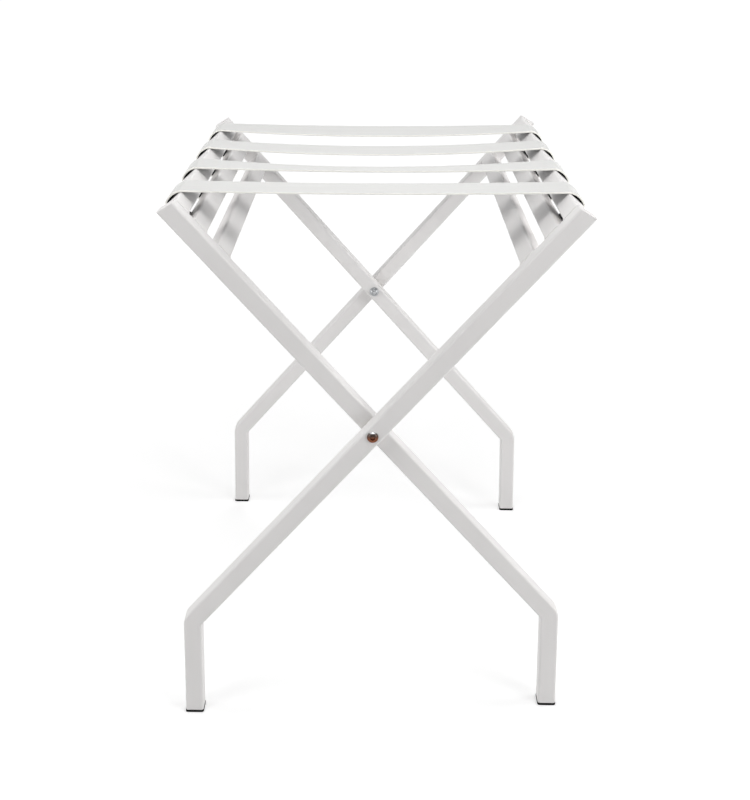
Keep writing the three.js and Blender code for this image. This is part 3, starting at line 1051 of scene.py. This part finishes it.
def bolt_shape(sizes, run):
    """A domed bolt with a hexagon socket, pointing up from the underside of its head."""
    head, high, rim = sizes.bolt_head, sizes.bolt_height, sizes.bolt_height * 0.2
    dome, dome_steps = math.radians(62), 8
    pitch, threads, root = 1 * MM, 8, sizes.bolt * 0.88
    loops = [
        (hexagon(sizes.socket * 0.92), -high * 0.45),
        (hexagon(sizes.socket), -high * 0.9),
        (hexagon(sizes.socket * 1.12), -high * 0.96),
    ]
    for step in range(dome_steps + 1):
        lean = dome * (1 - step / dome_steps)
        loops.append((head * math.cos(lean), -rim - (high - rim) * math.sin(lean)))
    loops += [(head, -rim * 0.3), (head - rim * 0.3, 0), (sizes.bolt, 0)]
    for thread in range(threads, 0, -1):
        loops.append((sizes.bolt, run - thread * pitch))
        loops.append((root, run - (thread - 0.5) * pitch))
    loops.append((sizes.bolt * 0.8, run))
    bm = turned(sides=36, loops=loops)
    close_ends(bm)
    # The head takes the polished steel with painted reflections, the shank the plating
    for face in bm.faces:
        face.material_index = 1 if face.calc_center_median().z > 0 else 0
    return bm


def nut_shape(sizes, high):
    """A lock nut standing on height zero: a hexagon with turned-off corners and a round collar."""
    flats, collar = sizes.nut_flats, sizes.nut_collar
    chamfer, deck = 0.06 * flats, high * 0.62
    corner = flats / math.sqrt(3)
    outline = hexagon(flats)

    def trimmed(around):
        return min(outline(around), corner - chamfer)

    loops = [
        (sizes.bolt, 0),
        (trimmed, 0),
        (outline, chamfer * 0.6),
        (outline, deck - chamfer * 0.6),
        (trimmed, deck),
        (collar, deck),
        (collar, high - chamfer),
        (collar - chamfer, high),
        (sizes.bolt + chamfer, high),
        (sizes.bolt, high - chamfer),
        (sizes.bolt, 0),
    ]
    return turned(sides=48, loops=loops)


def ring_shape(inside, outside, high):
    """A flat ring standing on height zero, its outer edges broken."""
    edge = min(0.15 * high, 0.3 * MM)
    loops = [
        (inside, 0),
        (outside - edge, 0),
        (outside, edge),
        (outside, high - edge),
        (outside - edge, high),
        (inside, high),
        (inside, 0),
    ]
    return turned(sides=48, loops=loops)


class RACK_OT_pivots(bpy.types.Operator):
    """Builds the two pivots: bolt, spacer, washer and nut"""

    bl_idname = "rack.pivots"
    bl_label = "Pivots"

    def execute(self, context):
        sizes = context.scene.rack_hardware
        colours = context.scene.rack_finishes
        zinc, bronze = once(steel_zinc_plated, colours), once(steel_polished_painted_reflections, colours)
        nylon = once(nylon_turned_natural, colours)
        for end, turn in zip(ENDS, (0.0, math.pi)):
            for part, materials, slot in (
                ("bolt", [bronze, zinc], "zinc_steel"),
                ("spacer", [nylon], "clear_nylon"),
                ("washer", [zinc], "zinc_steel"),
                ("nut", [zinc], "zinc_steel"),
            ):
                node = f"{end}_pivot_{part}"
                low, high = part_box(f"front_pivot_{part}")
                run = high.y - low.y
                foot = low.y
                if part == "bolt":
                    foot += sizes.bolt_height
                    bm = bolt_shape(sizes, run - sizes.bolt_height)
                elif part == "nut":
                    bm = nut_shape(sizes, run)
                else:
                    bm = ring_shape(sizes.bolt, (high.x - low.x) / 2, run)
                lie = Matrix.Rotation(-math.pi / 2, 4, "X")
                along = Matrix.Translation((0, foot, PIVOT.z)) @ lie
                place = Matrix.Rotation(turn, 4, "Z") @ along
                bmesh.ops.transform(bm, matrix=place, verts=bm.verts[:])
                finish_piece(bm, node, "turned", materials, "outer_frame")
        return {"FINISHED"}


def shown_white(tree):
    """A socket that is one where the camera sees straight, in a mirror or through glass."""
    path = add_node(tree, "ShaderNodeLightPath").outputs
    mirrored = add_node(
        tree,
        "ShaderNodeMath",
        {0: path["Is Glossy Ray"], 1: path["Is Transmission Ray"]},
        operation="MAXIMUM",
    )
    shown = add_node(
        tree,
        "ShaderNodeMath",
        {0: path["Is Camera Ray"], 1: mirrored.outputs[0]},
        operation="MAXIMUM",
    )
    return shown.outputs[0]


def paper_white_seamless(colours):
    """White background paper: it takes the shadow, and looks white also in reflections."""
    material, tree, shader = new_material("paper_white_seamless")
    place = add_node(tree, "ShaderNodeTexCoord").outputs["Object"]
    # Clouds in the paper, about 40 mm
    fibres = add_node(
        tree, "ShaderNodeTexNoise", {"Vector": place, "Scale": 1 / (40 * MM), "Detail": 4.0}
    )
    tone = add_node(
        tree,
        "ShaderNodeMix",
        {"Factor": fibres.outputs["Fac"], "A": shade(colours.floor, 0.99), "B": colours.floor},
        data_type="RGBA",
    )
    tree.links.new(tone.outputs["Result"], shader.inputs["Base Color"])
    shader.inputs["Roughness"].default_value = 0.9
    shader.inputs["Specular IOR Level"].default_value = 0.0
    # The glow makes up for the light that falls off, from 0.3 m to 2.5 m away from the rack
    away = add_node(tree, "ShaderNodeVectorMath", {0: place}, operation="LENGTH")
    level = add_node(
        tree,
        "ShaderNodeMapRange",
        {
            "Value": away.outputs["Value"],
            "From Min": 0.3,
            "From Max": 2.5,
            "To Min": 0.42,
            "To Max": 0.88,
        },
        interpolation_type="SMOOTHSTEP",
    )
    glow = add_node(
        tree,
        "ShaderNodeMath",
        {0: shown_white(tree), 1: level.outputs["Result"]},
        operation="MULTIPLY",
    )
    shader.inputs["Emission Color"].default_value = (1, 1, 1, 1)
    tree.links.new(glow.outputs[0], shader.inputs["Emission Strength"])
    return material


def add_softbox(name, place, target, size, power):
    """A square softbox at a place, facing a target."""
    lamp = bpy.data.lights.new(name, "AREA")
    lamp.energy = power
    lamp.size = size
    holder = bpy.data.objects.new(name, lamp)
    facing = (Vector(place) - Vector(target)).to_track_quat("Z", "Y").to_matrix().to_4x4()
    holder.matrix_world = Matrix.Translation(place) @ facing
    bpy.context.scene.collection.objects.link(holder)


def add_floor(colours):
    """The paper under the rack."""
    bm = bmesh.new()
    bmesh.ops.create_grid(bm, x_segments=1, y_segments=1, size=FLOOR_SIZE)
    mesh = bpy.data.meshes.new("floor")
    bm.to_mesh(mesh)
    bm.free()
    mesh.materials.append(once(paper_white_seamless, colours))
    floor = bpy.data.objects.new("floor", mesh)
    bpy.context.scene.collection.objects.link(floor)


def add_camera():
    """The camera, turned by its pitch, yaw and roll, its frame shifted off the optical centre."""
    ahead = math.cos(PITCH)
    forward = Vector((math.sin(YAW) * ahead, math.cos(YAW) * ahead, -math.sin(PITCH)))
    level = Vector((math.cos(YAW), -math.sin(YAW), 0))
    steep = level.cross(forward)
    right = level * math.cos(ROLL) - steep * math.sin(ROLL)
    above = level * math.sin(ROLL) + steep * math.cos(ROLL)
    wide, high = PICTURE
    lens = bpy.data.cameras.new("camera")
    lens.sensor_width = SENSOR
    lens.lens = FOCAL_LENGTH / high * SENSOR
    lens.shift_x = (wide / 2 - OPTICAL_CENTRE[0]) / high
    lens.shift_y = (OPTICAL_CENTRE[1] - high / 2) / high
    camera = bpy.data.objects.new("camera", lens)
    turn = Matrix((right, above, -forward)).transposed().to_4x4()
    camera.matrix_world = Matrix.Translation(CAMERA_PLACE) @ turn
    bpy.context.scene.collection.objects.link(camera)
    bpy.context.scene.camera = camera


def add_sky():
    """A room that lights the rack softly and shows white."""
    world = bpy.data.worlds.new("studio")
    world.use_nodes = True
    tree = world.node_tree
    tree.nodes.clear()
    strength = add_node(
        tree,
        "ShaderNodeMapRange",
        {"Value": shown_white(tree), "To Min": SKY_LIGHT, "To Max": 1.0},
    )
    sky = add_node(
        tree,
        "ShaderNodeBackground",
        {"Color": (1, 1, 1, 1), "Strength": strength.outputs["Result"]},
    )
    add_node(tree, "ShaderNodeOutputWorld", {"Surface": sky.outputs["Background"]})
    bpy.context.scene.world = world


class RACK_OT_stage(bpy.types.Operator):
    """Sets the camera, the soft light and the paper floor"""

    bl_idname = "rack.stage"
    bl_label = "Stage"

    def execute(self, context):
        context.scene.view_settings.view_transform = "Standard"
        add_floor(context.scene.rack_finishes)
        add_camera()
        for softbox in SOFTBOXES:
            add_softbox(*softbox)
        add_sky()
        return {"FINISHED"}


class RACK_PT_sidebar(bpy.types.Panel):
    """Sizes, colours and steps of the luggage rack"""

    bl_idname = "RACK_PT_sidebar"
    bl_label = "Luggage rack"
    bl_space_type = "VIEW_3D"
    bl_region_type = "UI"
    bl_category = "Rack"

    def draw(self, context):
        for step in STEPS:
            self.layout.operator(step.bl_idname)
        for group in GROUPS:
            box = self.layout.box()
            values = getattr(context.scene, group)
            for key in values.__annotations__:
                box.prop(values, key)


GROUPS = {
    "rack_frame": FrameSizes,
    "rack_straps": StrapSizes,
    "rack_hardware": HardwareSizes,
    "rack_finishes": Finishes,
}
STEPS = (
    RACK_OT_stage,
    RACK_OT_legs,
    RACK_OT_bars,
    RACK_OT_feet,
    RACK_OT_straps,
    RACK_OT_screws,
    RACK_OT_pivots,
)


def register():
    for kind in (*GROUPS.values(), *STEPS, RACK_PT_sidebar):
        bpy.utils.register_class(kind)
    for name, group in GROUPS.items():
        setattr(bpy.types.Scene, name, PointerProperty(type=group))


def unregister():
    for name in GROUPS:
        delattr(bpy.types.Scene, name)
    for kind in (RACK_PT_sidebar, *reversed(STEPS), *reversed(GROUPS.values())):
        bpy.utils.unregister_class(kind)


def main():
    register()
    bpy.ops.rack.stage()
    bpy.ops.rack.legs()
    bpy.ops.rack.bars()
    bpy.ops.rack.feet()
    bpy.ops.rack.straps()
    bpy.ops.rack.screws()
    bpy.ops.rack.pivots()


if __name__ == "__main__":
    main()
